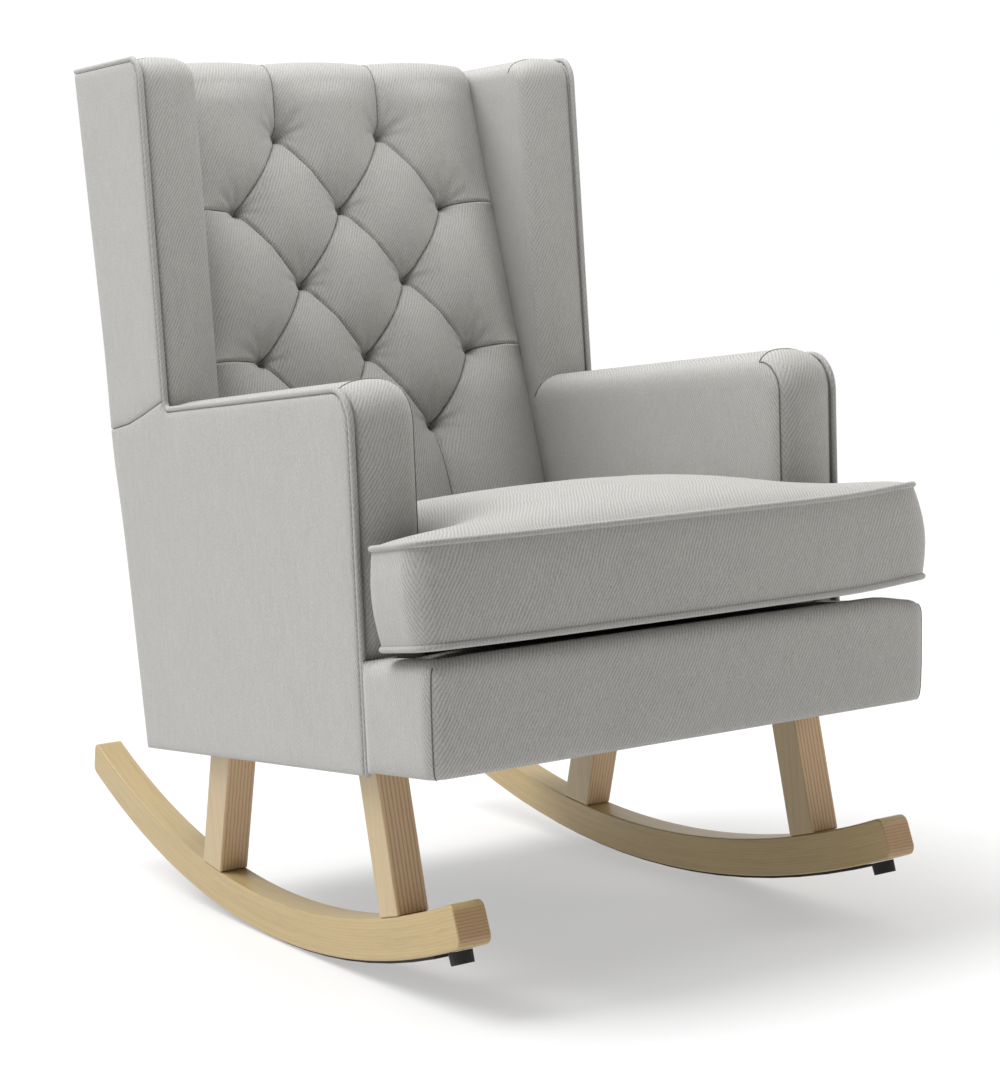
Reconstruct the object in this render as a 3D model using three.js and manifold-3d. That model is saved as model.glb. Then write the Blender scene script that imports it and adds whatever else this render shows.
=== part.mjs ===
import * as THREE from "three";
import Module from "manifold-3d";

const wasm = await Module();
wasm.setup();

// A high-backed wing chair on two bent rockers. Millimetres. The chair is drawn with its base level,
// front towards -Y, and the finished group is tipped onto the rockers' point of balance at the end.

// Upholstered body
const HALF_WIDTH = 300; // to the outer face of the side panels
const PANEL = 8; // padded outer panels
const CLEAR = 0.4; // between neighbouring pieces
const BASE_BOTTOM = 213;
const BASE_TOP = BASE_BOTTOM + 117;
const REAR = 447;
const ARM_INNER = HALF_WIDTH - 78;
const WING_INNER = ARM_INNER;
const ARM_TOP_REAR = 627;
const ARM_TOP_FRONT = ARM_TOP_REAR - 24;
const ARM_FRONT_TOP = -272;
const ARM_FRONT_BOTTOM = -221;
const ARM_CROWN = 12;
const WING_TOP_REAR = 1078;
const WING_TOP_FRONT = WING_TOP_REAR - 30;
const WING_FRONT = 254; // at the arm
const WING_FRONT_TOP = 218;
const WELT = 3.2; // radius of the piping
const RAIL_TOP = BASE_TOP - 18; // wooden seat rails
const RAIL_LOW = BASE_BOTTOM + 22;
const POST_FRONT = REAR - 45; // front face of the back frame
const POST_TOP = WING_TOP_FRONT - 23;
// Front apron
const APRON_HALF = HALF_WIDTH - 1;
const APRON_FRONT = -380; // at its lower edge
const APRON_GAP = 9; // behind it, for the piping down the front of each side
const APRON_LEAN = 0.17; // forward per unit of height
const APRON_BOTTOM = BASE_BOTTOM + 4;
const APRON_TOP = BASE_TOP - 3.5;
const APRON_WALL = 22;
// Seat cushion
const CUSHION_EAR_HALF = HALF_WIDTH + 5;
const CUSHION_HALF = ARM_INNER - 9;
const CUSHION_FRONT = -402;
const CUSHION_EAR_REAR = -300;
const CUSHION_REAR = 208;
const CUSHION_LOW = BASE_TOP + 13;
const CUSHION_EDGE = 100; // height of the boxing between the two pipings
const CUSHION_CROWN = 50;
const CUSHION_SAG = 0.2; // how much of the crown the underside has
const DECK_TOP = BASE_TOP + 2.5;
const DECK_FRONT = APRON_FRONT + 10;
// Tufted back
const BACK_TOP = WING_TOP_REAR - 10;
const BACK_LOW = BASE_TOP + 20;
const BACK_Y = 264; // front seam at BACK_Z
const BACK_Z = 501;
const BACK_LEAN = 0.17;
const BACK_THICK = 62;
const TUFT_X = (WING_INNER * 146) / 222; // between tufts in a row
const TUFT_Z = 97; // between rows
const TUFT_LOW = BACK_TOP - 4 * TUFT_Z - 92; // height of the lowest row
const TUFT_SINK = 14;
const TUFT_BULGE = 24;
const BUTTON = 8; // radius
// Rockers and legs
const ROCKER_OUT = HALF_WIDTH - 21;
const ROCKER_IN = ROCKER_OUT - 36;
const ROCKER_RADIUS = 1607.2; // underside
const ROCKER_Y = 41.3; // centre of the arc
const ROCKER_THICK = 44.4;
const ROCKER_FRONT = -359;
const ROCKER_REAR = 753;
const STRIP = 3;
const LEG_TOP = BASE_BOTTOM + 21.5;
// Tilt that brings the centre of mass over the point of contact, in degrees
const REST_TILT = 3.2;
const FACET = 2; // degrees of arc per facet of the rockers

const parts = new THREE.Group();

function material(color, rough) {
  return new THREE.MeshStandardMaterial({ color, roughness: rough });
}

function put(name, geometry, color = 0xb9b4ad, rough = 0.9) {
  const mesh = new THREE.Mesh(geometry, material(color, rough));
  mesh.name = name;
  parts.add(mesh);
  return mesh;
}

const WOOD = 0xdcc39a;
const FRAME_WOOD = 0xc9a878;
const BLACK = 0x1b1b1b;
const STEEL = 0x8a8d90;

function box(x0, x1, y0, y1, z0, z1) {
  const g = new THREE.BoxGeometry(x1 - x0, y1 - y0, z1 - z0);
  return g.translate((x0 + x1) / 2, (y0 + y1) / 2, (z0 + z1) / 2);
}

// A mesh from plain lists of points and triangles.
function solid(points, faces) {
  const g = new THREE.BufferGeometry();
  g.setAttribute("position", new THREE.Float32BufferAttribute(points.flat(), 3));
  g.setIndex(faces.flat());
  return g;
}

function outline(points) {
  return new THREE.Shape(points.map(([a, b]) => new THREE.Vector2(a, b)));
}

// Extrudes a (y, z) outline along X from x0 to x1; bulge rounds the two side edges outwards.
function alongX(points, x0, x1, bulge = 0, depth = 14) {
  const options = { depth: x1 - x0, bevelEnabled: false };
  if (bulge) {
    options.depth = x1 - x0 - 2 * depth;
    options.bevelEnabled = true;
    options.bevelThickness = depth;
    options.bevelSize = bulge;
    options.bevelSegments = 3;
  }
  const g = new THREE.ExtrudeGeometry(outline(points), options);
  if (bulge) g.translate(0, 0, depth);
  const turn = new THREE.Matrix4().set(0, 0, 1, x0, 1, 0, 0, 0, 0, 1, 0, 0, 0, 0, 0, 1);
  return g.applyMatrix4(turn);
}

// Extrudes an (x, y) outline upwards.
function alongZ(points, z0, z1) {
  const g = new THREE.ExtrudeGeometry(outline(points), { depth: z1 - z0, bevelEnabled: false });
  return g.translate(0, 0, z0);
}

function mirrored(geometry) {
  const g = geometry.index ? geometry.toNonIndexed() : geometry.clone();
  const a = g.getAttribute("position").array;
  for (let i = 0; i < a.length; i += 9) {
    const t = [a[i + 3], a[i + 4], a[i + 5]];
    a.set([a[i + 6], a[i + 7], a[i + 8]], i + 3);
    a.set(t, i + 6);
  }
  for (let i = 0; i < a.length; i += 3) a[i] = -a[i];
  g.deleteAttribute("normal");
  return g;
}

// The left piece is drawn; the right one is its mirror image.
function pair(name, geometry, color, rough) {
  put("left_" + name, geometry, color, rough);
  put("right_" + name, mirrored(geometry), color, rough);
}

function manifoldOf(geometry) {
  const g = geometry.index ? geometry.toNonIndexed() : geometry.clone();
  const seen = new Map();
  const points = [];
  const faces = [];
  const a = g.getAttribute("position").array;
  for (let i = 0; i < a.length; i += 3) {
    const key = [a[i], a[i + 1], a[i + 2]].map((v) => Math.round(v * 1e3)).join();
    if (!seen.has(key)) {
      seen.set(key, seen.size);
      points.push(a[i], a[i + 1], a[i + 2]);
    }
    faces.push(seen.get(key));
  }
  const whole = [];
  for (let i = 0; i < faces.length; i += 3) {
    const [p, q, r] = faces.slice(i, i + 3);
    if (p !== q && q !== r && r !== p) whole.push(p, q, r);
  }
  return new wasm.Manifold(
    new wasm.Mesh({
      numProp: 3,
      vertProperties: new Float32Array(points),
      triVerts: new Uint32Array(whole),
    }),
  );
}

function geometryOf(made) {
  const m = made.getMesh();
  const g = new THREE.BufferGeometry();
  g.setAttribute("position", new THREE.BufferAttribute(new Float32Array(m.vertProperties), 3));
  g.setIndex(new THREE.BufferAttribute(new Uint32Array(m.triVerts), 1));
  return g;
}

function cut(geometry, ...tools) {
  let made = manifoldOf(geometry);
  for (const t of tools) made = made.subtract(manifoldOf(t));
  return geometryOf(made);
}

// A round cord along a list of points, closed into a loop when asked.
function cord(points, radius, sides, loop = false) {
  const p = points.map((v) => new THREE.Vector3(...v));
  const n = p.length;
  const out = [];
  const faces = [];
  let side = null;
  for (let i = 0; i < n; i++) {
    const before = p[loop ? (i + n - 1) % n : Math.max(i - 1, 0)];
    const after = p[loop ? (i + 1) % n : Math.min(i + 1, n - 1)];
    const t = after.clone().sub(before).normalize();
    if (!side) {
      side = new THREE.Vector3(0.01, 0.02, 1).cross(t);
      if (side.length() < 0.1) side = new THREE.Vector3(1, 0, 0).cross(t);
    }
    side.sub(t.clone().multiplyScalar(side.dot(t))).normalize();
    const up = t.clone().cross(side);
    for (let k = 0; k < sides; k++) {
      const a = (2 * Math.PI * k) / sides;
      const v = p[i].clone();
      v.addScaledVector(side, radius * Math.cos(a)).addScaledVector(up, radius * Math.sin(a));
      out.push([v.x, v.y, v.z]);
    }
  }
  for (let i = 0; i < (loop ? n : n - 1); i++) {
    for (let k = 0; k < sides; k++) {
      const a = i * sides + k;
      const b = i * sides + ((k + 1) % sides);
      const c = ((i + 1) % n) * sides + k;
      const d = ((i + 1) % n) * sides + ((k + 1) % sides);
      faces.push([a, b, d], [a, d, c]);
    }
  }
  if (!loop) {
    for (let k = 1; k < sides - 1; k++) {
      faces.push([0, k + 1, k]);
      const e = (n - 1) * sides;
      faces.push([e, e + k, e + k + 1]);
    }
  }
  return solid(out, faces);
}

// Rounds the corners of an outline; each entry is [a, b, radius].
function rounded(points, steps = 4, closed = true) {
  const out = [];
  const n = points.length;
  points.forEach(([x, y, r], i) => {
    if (!r || (!closed && (i === 0 || i === n - 1))) {
      out.push([x, y]);
      return;
    }
    const [px, py] = points[(i + n - 1) % n];
    const [qx, qy] = points[(i + 1) % n];
    const u = new THREE.Vector2(px - x, py - y).normalize();
    const v = new THREE.Vector2(qx - x, qy - y).normalize();
    const half = Math.acos(THREE.MathUtils.clamp(u.dot(v), -1, 1)) / 2;
    const reach = r / Math.tan(half);
    const centre = u.clone().add(v).normalize().multiplyScalar(r / Math.sin(half));
    const from = u.clone().multiplyScalar(reach).sub(centre);
    const to = v.clone().multiplyScalar(reach).sub(centre);
    const turn = Math.atan2(from.x * to.y - from.y * to.x, from.dot(to));
    for (let k = 0; k <= steps; k++) {
      const a = (turn * k) / steps;
      const c = Math.cos(a);
      const s = Math.sin(a);
      const dx = from.x * c - from.y * s;
      const dy = from.x * s + from.y * c;
      out.push([x + centre.x + dx, y + centre.y + dy]);
    }
  });
  return out;
}

// Moves an open outline sideways by d, to the left of its direction of travel.
function offset(points, d) {
  return points.map(([x, y], i) => {
    const [ax, ay] = points[Math.max(i - 1, 0)];
    const [bx, by] = points[Math.min(i + 1, points.length - 1)];
    const t = new THREE.Vector2(bx - ax, by - ay).normalize();
    return [x - t.y * d, y + t.x * d];
  });
}

const SIDE_IN = HALF_WIDTH - PANEL - CLEAR; // inner limit of the outer panels
const backRear = (z) => Math.min(backSeam(z) + BACK_THICK, POST_FRONT - 2);
const backSeam = (z) => BACK_Y + (z - BACK_Z) * BACK_LEAN;

// Side view of the body's edge, from the rear top corner over the wing and arm to the floor of the base.
function bodyEdge() {
  return rounded(
    [
      [REAR, WING_TOP_REAR],
      [WING_FRONT_TOP - 2, WING_TOP_FRONT - 5, 26],
      [WING_FRONT, ARM_TOP_REAR, 14],
      [ARM_FRONT_TOP - 4, ARM_TOP_FRONT - 3, 34],
      [ARM_FRONT_BOTTOM, BASE_BOTTOM],
    ],
    5,
    false,
  );
}

function sidePanels() {
  const edge = bodyEdge();
  const seam = edge.findIndex(([, z]) => z < ARM_TOP_REAR + 14);
  const wing = edge.slice(0, seam);
  const arm = edge.slice(seam);
  wing.push([WING_FRONT - 1, ARM_TOP_REAR + 12]);
  wing.push([REAR, ARM_TOP_REAR - 3]);
  const slope = (y) => ARM_TOP_REAR - 3 + ((REAR - y) * 15) / (REAR - WING_FRONT + 1);
  arm.unshift([WING_FRONT - 1, slope(WING_FRONT - 1) - CLEAR]);
  arm.unshift([REAR, ARM_TOP_REAR - 3 - CLEAR]);
  arm.push([REAR, BASE_BOTTOM]);
  pair("outer_wing_panel", alongX(wing.reverse(), -HALF_WIDTH, -SIDE_IN - CLEAR));
  pair("outer_arm_panel", alongX(arm.reverse(), -HALF_WIDTH, -SIDE_IN - CLEAR));
}

function sideWelts() {
  const path = offset(bodyEdge(), -WELT - 0.9).map(([y, z]) => [-HALF_WIDTH + WELT + 0.8, y, z]);
  const fine = [];
  path.forEach((v, i) => {
    if (i) {
      const u = path[i - 1];
      const gap = Math.hypot(v[1] - u[1], v[2] - u[2]);
      const extra = gap > 200 ? 1 : 0;
      for (let k = 1; k <= extra; k++) {
        fine.push(u.map((c, j) => c + ((v[j] - c) * k) / (extra + 1)));
      }
    }
    fine.push(v);
  });
  pair("side_welt", cord(fine, WELT, 8), 0xaea9a2);
}

function wingPads() {
  const z0 = ARM_TOP_REAR + 16;
  const shape = rounded([
    [WING_FRONT - (z0 - ARM_TOP_REAR) * 0.09, z0],
    [REAR - 4, z0],
    [REAR - 4, WING_TOP_REAR - 6],
    [WING_FRONT_TOP - 1, WING_TOP_FRONT - 6, 26],
  ]);
  const block = alongX(shape, -SIDE_IN, -WING_INNER, 5, 10);
  const room = box(-SIDE_IN - 20, -WING_INNER - 18, WING_FRONT + 30, REAR + 20, z0 - 50, WING_TOP_FRONT - 22);
  const level = box(-HALF_WIDTH - 100, 0, 0, REAR + 200, 0, z0);
  const rear = box(-HALF_WIDTH - 100, 0, REAR, REAR + 200, 0, WING_TOP_REAR + 200);
  const frameway = box(-400, 0, POST_FRONT - 3, REAR + 20, z0 - 50, WING_TOP_FRONT - 16);
  pair("wing_pad", cut(block, room, level, rear, frameway));
}

function armPads() {
  const slope = (ARM_TOP_REAR - ARM_TOP_FRONT) / (WING_FRONT - ARM_FRONT_TOP);
  const topAt = (y) => ARM_TOP_FRONT + (y - ARM_FRONT_TOP) * slope;
  const whole = rounded([
    [ARM_FRONT_BOTTOM, BASE_BOTTOM],
    [REAR - 6, BASE_BOTTOM],
    [REAR - 6, topAt(REAR) - 4],
    [ARM_FRONT_TOP - 4, ARM_TOP_FRONT - 3, 34],
  ]);
  const full = alongX(whole, -SIDE_IN, -ARM_INNER, ARM_CROWN, 16);
  const frontAt = (z) => ARM_FRONT_BOTTOM + 26 - ((z - BASE_BOTTOM) * 45) / 352;
  const inside = (grow, low, far) => [
    [frontAt(low) + grow, low],
    [far, low],
    [far, topAt(far) - 34 - grow],
    [frontAt(ARM_TOP_FRONT - 34) + grow, topAt(ARM_FRONT_TOP + 30) - 34 - grow],
  ];
  const hollow = alongX(inside(0, BASE_BOTTOM - 40, REAR + 40), -HALF_WIDTH - 100, -100);
  const apron = box(-HALF_WIDTH - 100, 0, APRON_FRONT - 200, ARM_FRONT_BOTTOM + 7, 0, BASE_TOP + 6);
  const under = box(-HALF_WIDTH - 100, 0, APRON_FRONT - 200, REAR + 200, 0, RAIL_TOP + CLEAR);
  const rear = box(-HALF_WIDTH - 100, 0, POST_FRONT - 3, REAR + 200, 0, WING_TOP_REAR);
  const wing = box(-HALF_WIDTH - 100, 0, WING_FRONT - 16, REAR + 200, ARM_TOP_REAR + 15.5, WING_TOP_REAR);
  pair("arm_band", cut(full, hollow, apron, under, rear, wing));
  const inner = inside(0.6, BASE_TOP + 8, POST_FRONT - 4);
  pair("inner_arm_pad", alongX(inner, -ARM_INNER - 24, -ARM_INNER));
}

// Front edge of the sides at height z, and the rear edge of the apron that follows it.
const sideFront = (z) => {
  const share = (z - BASE_BOTTOM) / (ARM_TOP_FRONT - BASE_BOTTOM);
  return ARM_FRONT_BOTTOM + (ARM_FRONT_TOP - ARM_FRONT_BOTTOM) * share;
};
const apronRear = (z) => sideFront(z) - APRON_GAP;

function apron() {
  const plan = (grow, back) => {
    const r = 24 - grow;
    return rounded([
      [-APRON_HALF + grow, back],
      [-APRON_HALF + grow, APRON_FRONT + grow, r],
      [APRON_HALF - grow, APRON_FRONT + grow, r],
      [APRON_HALF - grow, back],
    ]);
  };
  const lean = new THREE.Matrix4().makeShear(0, 0, 0, 0, 0, 0);
  lean.elements[9] = -APRON_LEAN;
  lean.elements[13] = APRON_LEAN * APRON_BOTTOM;
  const outer = alongZ(plan(0, ARM_FRONT_BOTTOM + 60).reverse(), APRON_BOTTOM, APRON_TOP).applyMatrix4(lean);
  const inner = alongZ(plan(APRON_WALL, ARM_FRONT_BOTTOM + 160).reverse(), APRON_BOTTOM - 5, APRON_TOP + 5);
  const along = [
    [apronRear(0), 0],
    [ARM_FRONT_BOTTOM + 600, 0],
    [ARM_FRONT_BOTTOM + 600, ARM_TOP_FRONT],
    [apronRear(ARM_TOP_FRONT), ARM_TOP_FRONT],
  ];
  const behind = alongX(along, -HALF_WIDTH - 100, HALF_WIDTH + 100);
  put("front_apron", cut(outer, inner.applyMatrix4(lean), behind));
}

// Plan of the T-shaped seat cushion, anticlockwise from above.
function cushionPlan(grow = 0) {
  const g = grow;
  return rounded(
    [
      [-CUSHION_EAR_HALF - g, CUSHION_FRONT - g, 34],
      [0, CUSHION_FRONT - 8 - g, 700],
      [CUSHION_EAR_HALF + g, CUSHION_FRONT - g, 34],
      [CUSHION_EAR_HALF + g, CUSHION_EAR_REAR + g, 14],
      [CUSHION_HALF + g, CUSHION_EAR_REAR + g, 8],
      [CUSHION_HALF + g, CUSHION_REAR + g, 22],
      [-CUSHION_HALF - g, CUSHION_REAR + g, 22],
      [-CUSHION_HALF - g, CUSHION_EAR_REAR + g, 8],
      [-CUSHION_EAR_HALF - g, CUSHION_EAR_REAR + g, 14],
    ],
    4,
  );
}

function cushion() {
  const plan = cushionPlan();
  const n = plan.length;
  const hub = [0, CUSHION_FRONT + 52];
  const mid = (CUSHION_FRONT + CUSHION_REAR) / 2;
  const run = (CUSHION_REAR - CUSHION_FRONT) / 2;
  const crown = (x, y) => {
    const u = Math.min(Math.abs(x) / CUSHION_HALF, 1);
    const v = Math.min(Math.abs(y - mid) / run, 1);
    return CUSHION_CROWN * Math.sqrt((1 - u ** 3) * (1 - v ** 2.4));
  };
  const points = [];
  const faces = [];
  const rings = [0, 0.07, 0.18, 0.34, 0.52, 0.72];
  const ring = (t, z, lift) => {
    plan.forEach(([x, y]) => {
      const a = x + (hub[0] - x) * t;
      const b = y + (hub[1] - y) * t;
      points.push([a, b, z + (t > 0 ? lift * crown(a, b) : 0)]);
    });
  };
  const top = CUSHION_LOW + CUSHION_EDGE;
  [...rings].reverse().forEach((t) => ring(t, CUSHION_LOW, -CUSHION_SAG));
  rings.forEach((t) => ring(t, top, 1));
  for (let i = 0; i < 2 * rings.length - 1; i++) {
    for (let k = 0; k < n; k++) {
      const a = i * n + k;
      const b = i * n + ((k + 1) % n);
      faces.push([a, b, b + n], [a, b + n, a + n]);
    }
  }
  const low = points.push([hub[0], hub[1], CUSHION_LOW - CUSHION_SAG * crown(...hub)]) - 1;
  const high = points.push([hub[0], hub[1], top + crown(...hub)]) - 1;
  const last = (2 * rings.length - 1) * n;
  for (let k = 0; k < n; k++) {
    faces.push([low, (k + 1) % n, k]);
    faces.push([high, last + k, last + ((k + 1) % n)]);
  }
  put("seat_cushion", solid(points, faces));
  const loop = cushionPlan(WELT + 0.5);
  put("cushion_top_welt", cord(loop.map(([x, y]) => [x, y, top - WELT]), WELT, 6, true), 0xaea9a2);
  put("cushion_bottom_welt", cord(loop.map(([x, y]) => [x, y, CUSHION_LOW + WELT]), WELT, 6, true), 0xaea9a2);
}

function tufts() {
  const list = [];
  for (let row = 0; row < 5; row++) {
    const z = TUFT_LOW + row * TUFT_Z;
    const columns = row % 2 ? [-1, 0, 1] : [-0.5, 0.5];
    columns.forEach((c, i) => list.push([c * TUFT_X, z, row + 1, i + 1]));
  }
  return list;
}

// How far the padded front stands forward of its seam line.
function backBulge(x, z) {
  const wave = (v) => Math.abs(Math.sin(Math.PI * v));
  const a = x / TUFT_X + (z - TUFT_LOW) / (2 * TUFT_Z) + 0.5;
  const b = x / TUFT_X - (z - TUFT_LOW) / (2 * TUFT_Z) + 0.5;
  const side = Math.min(1, (WING_INNER - Math.abs(x)) / 26);
  const top = Math.min(1, (BACK_TOP - z) / 34);
  const edge = Math.sqrt(Math.max(0, side * (2 - side)) * Math.max(0, top * (2 - top)));
  let pinch = 0;
  for (const [tx, tz] of tufts()) {
    const d = Math.hypot(x - tx, z - tz);
    pinch = Math.max(pinch, Math.exp(-((d / 30) ** 2)));
  }
  const pillow = z > TUFT_LOW - 60 ? Math.sqrt(wave(a) * wave(b)) : 0.7;
  return edge * (TUFT_BULGE * (0.45 + 0.55 * pillow)) - pinch * (TUFT_SINK + TUFT_BULGE * 0.45);
}

function backPad() {
  const nx = 30;
  const nz = 44;
  const half = WING_INNER - CLEAR;
  const points = [];
  const faces = [];
  for (let j = 0; j <= nz; j++) {
    const z = BACK_LOW + ((BACK_TOP - BACK_LOW) * j) / nz;
    for (let i = 0; i <= nx; i++) {
      const x = -half + (2 * half * i) / nx;
      points.push([x, backSeam(z) - backBulge(x, z), z]);
    }
  }
  const w = nx + 1;
  for (let j = 0; j < nz; j++) {
    for (let i = 0; i < nx; i++) {
      const a = j * w + i;
      faces.push([a, a + 1, a + w + 1], [a, a + w + 1, a + w]);
    }
  }
  const rim = [];
  for (let i = 0; i < nx; i++) rim.push(i);
  for (let j = 0; j < nz; j++) rim.push(j * w + nx);
  for (let i = nx; i > 0; i--) rim.push(nz * w + i);
  for (let j = nz; j > 0; j--) rim.push(j * w);
  const start = points.length;
  rim.forEach((r) => {
    const [x, , z] = points[r];
    points.push([x, backRear(z), z]);
  });
  rim.forEach((r, k) => {
    const s = rim[(k + 1) % rim.length];
    const p = start + k;
    const q = start + ((k + 1) % rim.length);
    faces.push([s, r, p], [s, p, q]);
  });
  const hub = points.push([0, backRear(700), 700]) - 1;
  rim.forEach((r, k) => faces.push([hub, start + ((k + 1) % rim.length), start + k]));
  let made = manifoldOf(solid(points, faces));
  for (const [x, z] of tufts()) {
    const y = backSeam(z) + TUFT_SINK;
    const bore = new THREE.CylinderGeometry(BUTTON + 1, BUTTON + 1, 60, 10);
    bore.translate(x, y - 30, z);
    made = made.subtract(manifoldOf(bore));
  }
  put("tufted_back_pad", geometryOf(made));
  for (const [x, z, row, column] of tufts()) {
    const y = backSeam(z) + TUFT_SINK;
    const button = new THREE.CylinderGeometry(BUTTON, BUTTON * 0.55, 4, 10);
    button.translate(x, y - 2 - CLEAR, z);
    put("tuft_button_row" + row + "_" + column, button, 0xa7a29b);
  }
}

function outsideBack() {
  put("outside_back_panel", box(-HALF_WIDTH + 6, HALF_WIDTH - 6, REAR + CLEAR, REAR + 8, BASE_BOTTOM, WING_TOP_REAR - 8));
  const top = [
    [-WING_INNER + CLEAR, POST_FRONT - 1],
    [WING_INNER - CLEAR, POST_FRONT - 1],
    [WING_INNER - CLEAR, REAR - CLEAR],
    [-WING_INNER + CLEAR, REAR - CLEAR],
  ];
  put("back_top_cap", alongZ(top, BACK_TOP - 24, BACK_TOP));
}

function frame() {
  const out = SIDE_IN - 4;
  const back = REAR - 11;
  const armFront = ARM_FRONT_BOTTOM + 25;
  const armRail = ARM_TOP_FRONT - 43;
  const railFront = APRON_FRONT + APRON_WALL + 3;
  put("front_seat_rail", box(-out + 32, out - 32, railFront, railFront + 22, RAIL_LOW, RAIL_TOP), FRAME_WOOD, 0.8);
  put("rear_seat_rail", box(-out + 42, out - 42, POST_FRONT, back, RAIL_LOW, RAIL_TOP), FRAME_WOOD, 0.8);
  pair("side_seat_rail", box(-out, -out + 24, armFront + 6, back, RAIL_LOW, RAIL_TOP), FRAME_WOOD, 0.8);
  pair("back_post", box(-out, -out + 32, POST_FRONT, back - 2, RAIL_TOP + 1, POST_TOP), FRAME_WOOD, 0.8);
  put("back_top_rail", box(-out + 33, out - 33, POST_FRONT, back - 2, POST_TOP - 40, POST_TOP), FRAME_WOOD, 0.8);
  pair("arm_rail", box(-out, -out + 26, armFront, POST_FRONT - 1, armRail - 26, armRail), FRAME_WOOD, 0.8);
  pair("arm_post", box(-out, -out + 26, armFront, armFront + 30, RAIL_TOP + 1, armRail - 27), FRAME_WOOD, 0.8);
  const earRear = ARM_FRONT_BOTTOM - 28;
  const springFront = railFront + 14;
  const deck = [
    [-APRON_HALF + APRON_WALL + 4, DECK_FRONT],
    [APRON_HALF - APRON_WALL - 4, DECK_FRONT],
    [APRON_HALF - APRON_WALL - 4, earRear],
    [ARM_INNER - 1, earRear],
    [ARM_INNER - 1, BACK_Y - 50],
    [-ARM_INNER + 1, BACK_Y - 50],
    [-ARM_INNER + 1, earRear],
    [-APRON_HALF + APRON_WALL + 4, earRear],
  ];
  put("seat_deck", alongZ(deck, DECK_TOP - 13, DECK_TOP), 0x9a958e);
  const sheet = box(-ARM_INNER - 14, ARM_INNER + 14, railFront - 1, back, BASE_BOTTOM + 5, BASE_BOTTOM + 7);
  put("dust_cover", sheet, 0x3a3a3a);
  [-1.5, -0.5, 0.5, 1.5].forEach((c, i) => {
    const x = (c * ARM_INNER) / 2.22;
    const path = [];
    for (let k = 0; k <= 44; k++) {
      const y = springFront + ((REAR - 47 - springFront) * k) / 44;
      const s = Math.sin((k * Math.PI) / 2);
      path.push([x + 18 * s, y, RAIL_TOP + 3]);
    }
    put("seat_spring_" + (i + 1), cord(path, 1.8, 5), STEEL, 0.4);
  });
}

const arcZ = (y, r) => ROCKER_RADIUS - Math.sqrt(r * r - (y - ROCKER_Y) ** 2);

function legs() {
  const upper = ROCKER_RADIUS - ROCKER_THICK;
  const leg = (y0, y1, slope) => {
    const z0 = arcZ(y0, upper) + CLEAR;
    const z1 = arcZ(y1, upper) + CLEAR;
    return alongX(
      [
        [y0, z0],
        [y1, z1],
        [y1 + slope * (LEG_TOP - z1), LEG_TOP],
        [y0 + slope * (LEG_TOP - z0), LEG_TOP],
      ],
      -ROCKER_OUT,
      -ROCKER_IN,
    );
  };
  pair("front_leg", leg(-221.3, -175.5, 0.1), WOOD, 0.55);
  pair("rear_leg", leg(286, 343, -0.5), WOOD, 0.55);
}

// An arc-shaped bar between two radii, faceted so that one facet lies flat on the floor at rest.
function arcBar(inner, outer, from, to, x0, x1, corner) {
  const a0 = Math.asin((from - ROCKER_Y) / ROCKER_RADIUS);
  const a1 = Math.asin((to - ROCKER_Y) / ROCKER_RADIUS);
  const step = THREE.MathUtils.degToRad(FACET);
  const rest = THREE.MathUtils.degToRad(REST_TILT) + step / 2;
  const angles = [a0];
  for (let k = -60; k <= 60; k++) {
    const a = rest + k * step;
    if (a > a0 + step * 0.4 && a < a1 - step * 0.4) angles.push(a);
  }
  angles.push(a1);
  const at = (r, a) => [ROCKER_Y + r * Math.sin(a), ROCKER_RADIUS - r * Math.cos(a)];
  const lower = angles.map((a) => at(outer, a));
  const upper = angles.map((a) => at(inner, a)).reverse();
  const ends = [0, lower.length - 1, lower.length, 2 * lower.length - 1];
  const ring = [...lower, ...upper].map(([y, z], i) => [y, z, ends.includes(i) ? corner : 0]);
  return alongX(rounded(ring, 3), x0, x1);
}

function rockers() {
  const inner = ROCKER_RADIUS - ROCKER_THICK;
  pair("rocker", arcBar(inner, ROCKER_RADIUS, ROCKER_FRONT, ROCKER_REAR, -ROCKER_OUT, -ROCKER_IN, 9), WOOD, 0.55);
  const low = ROCKER_RADIUS + CLEAR;
  pair("rocker_grip_strip", arcBar(low, low + STRIP, ROCKER_FRONT + 74, 455, -ROCKER_OUT + 6, -ROCKER_IN - 6, 0), BLACK, 0.95);
  const y = ROCKER_FRONT + 37;
  const z = arcZ(y + 12, ROCKER_RADIUS);
  const lean = Math.asin((y - ROCKER_Y) / ROCKER_RADIUS);
  const stop = new THREE.CylinderGeometry(12.5, 12, 13, 16).rotateX(Math.PI / 2 + lean);
  stop.translate(-(ROCKER_OUT + ROCKER_IN) / 2, y, z - 4.6);
  pair("rocker_stop", stop, BLACK, 0.95);
}

sidePanels();
sideWelts();
wingPads();
armPads();
apron();
cushion();
backPad();
outsideBack();
frame();
legs();
rockers();

// Tip the whole chair about the rockers' centre, then bring the foot of the arc to z = 0.
const pivot = new THREE.Matrix4().makeTranslation(0, ROCKER_Y, ROCKER_RADIUS);
const tip = new THREE.Matrix4().makeRotationX(-THREE.MathUtils.degToRad(REST_TILT));
const back = new THREE.Matrix4().makeTranslation(0, -ROCKER_Y, -ROCKER_RADIUS);
const place = pivot.multiply(tip).multiply(back);
parts.children.forEach((m) => m.geometry.applyMatrix4(place));
const span = new THREE.Box3().setFromObject(parts);
const shift = new THREE.Vector3(0, -(span.min.y + span.max.y) / 2, -span.min.z);
parts.children.forEach((m) => m.geometry.translate(shift.x, shift.y, shift.z));

const group = new THREE.Group();
group.add(...parts.children);
export default group;
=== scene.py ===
import math

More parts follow.
